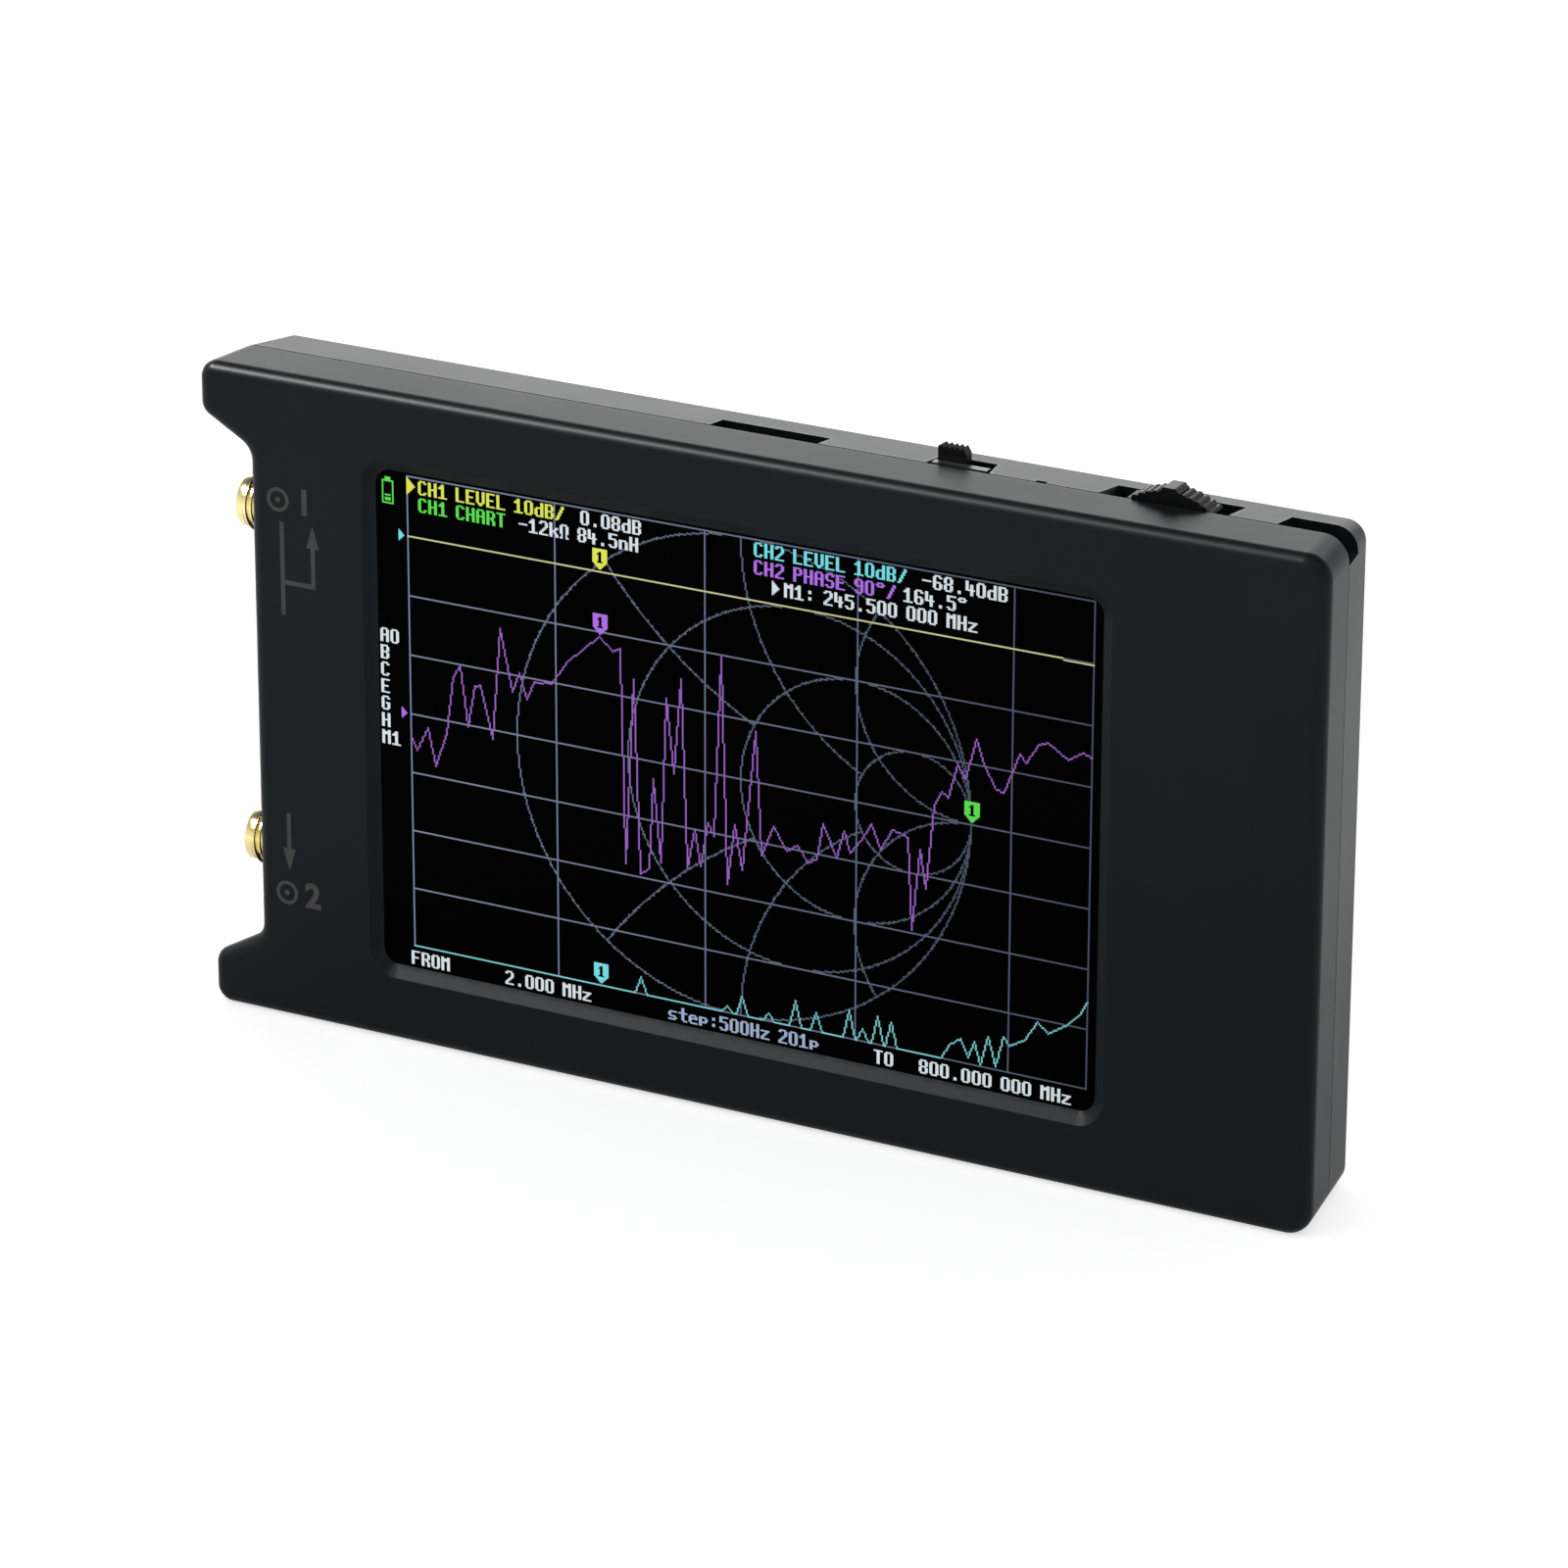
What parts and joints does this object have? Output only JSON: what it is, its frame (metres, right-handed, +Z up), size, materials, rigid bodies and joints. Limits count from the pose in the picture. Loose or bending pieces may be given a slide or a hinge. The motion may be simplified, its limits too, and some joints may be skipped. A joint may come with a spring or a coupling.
{
  "type": "handheld antenna analyzer",
  "caption": "Flat handheld antenna analyzer with a colour touch display, threaded coaxial ports between two horns, a power slide switch and a thumb lever on its top edge.",
  "frame": {"origin": "under the middle of the case, on the surface that its long lower edge stands on, with the power knob and thumb lever at the top", "axes": "+X along the long axis away from the coaxial ports, -Y out of the display face, +Z up"},
  "size_m": [0.1294, 0.0148, 0.0747],
  "materials": {
    "case_plastic": "fine satin, dark grey",
    "knob_plastic": "satin black",
    "panel_glass": "clear, glossy",
    "display": "black colour display",
    "backlight_frame": "white",
    "black_tape": "matte black",
    "foam": "matte black foam",
    "flex": "amber polyimide",
    "board": "dark solder mask",
    "gold": "gold plated",
    "ptfe": "white, smooth",
    "screw_steel": "black oxide",
    "plated_steel": "tin or nickel plated, semi-bright",
    "black_moulding": "black",
    "chip_black": "black epoxy",
    "ferrite": "dark grey ferrite",
    "ceramic": "tan ceramic",
    "led_white": "milky",
    "cell_foil": "matte foil",
    "white_nylon": "white nylon",
    "wire_red": "silicone insulation",
    "wire_black": "silicone insulation"
  },
  "bodies": {
    "case": {"front_shell": "case_plastic", "back_shell": "case_plastic", "case_screws": "screw_steel", "touch_panel": "panel_glass", "panel_adhesive": "black_tape", "display_cell": "display", "display_backlight": "backlight_frame", "display_foam": "foam", "display_flex": "flex", "touch_flex": "flex", "main_board": "board", "port1_jack": "gold", "port1_insulator": "ptfe", "port1_contact": "gold", "port2_jack": "gold", "port2_insulator": "ptfe", "port2_contact": "gold", "usb_shell": "plated_steel", "usb_tongue": "black_moulding", "card_socket_base": "black_moulding", "card_socket_cover": "plated_steel", "power_switch_body": "plated_steel", "jog_switch_body": "black_moulding", "jog_dome": "plated_steel", "shield_can_1": "plated_steel", "shield_can_2": "plated_steel", "mixer_chips": "chip_black", "clock_chip": "chip_black", "reference_crystal": "plated_steel", "codec_chip": "chip_black", "microcontroller": "chip_black", "charger_chip": "chip_black", "regulator_chip": "chip_black", "power_inductor": "ferrite", "chip_resistors": "chip_black", "chip_capacitors": "ceramic", "status_leds": "led_white", "battery_tape": "black_tape", "battery_cell": "cell_foil", "battery_socket": "white_nylon", "battery_plug": "white_nylon", "battery_lead_red": "wire_red", "battery_lead_black": "wire_black"},
    "power_knob": {"power_knob": "knob_plastic"},
    "jog_carriage": {"jog_carriage": "black_moulding"},
    "jog_lever": {"jog_lever": "knob_plastic"}
  },
  "joints": [
    {"name": "power_slide", "type": "slide", "parent": "case", "child": "power_knob", "axis": [1, 0, 0], "range_m": [0, 0.0024]},
    {"name": "lever_press", "type": "slide", "parent": "case", "child": "jog_carriage", "axis": [0, 0, -1], "range_m": [0, 0.0005], "stiffness_N_per_m": 300, "springref_m": -0.0002},
    {"name": "lever_tilt", "type": "hinge", "parent": "jog_carriage", "child": "jog_lever", "pos_m": [0.0441, 0.00133, 0.0662], "axis": [0, 1, 0], "range_deg": [-12, 12], "stiffness_Nm_per_rad": 0.002}
  ]
}
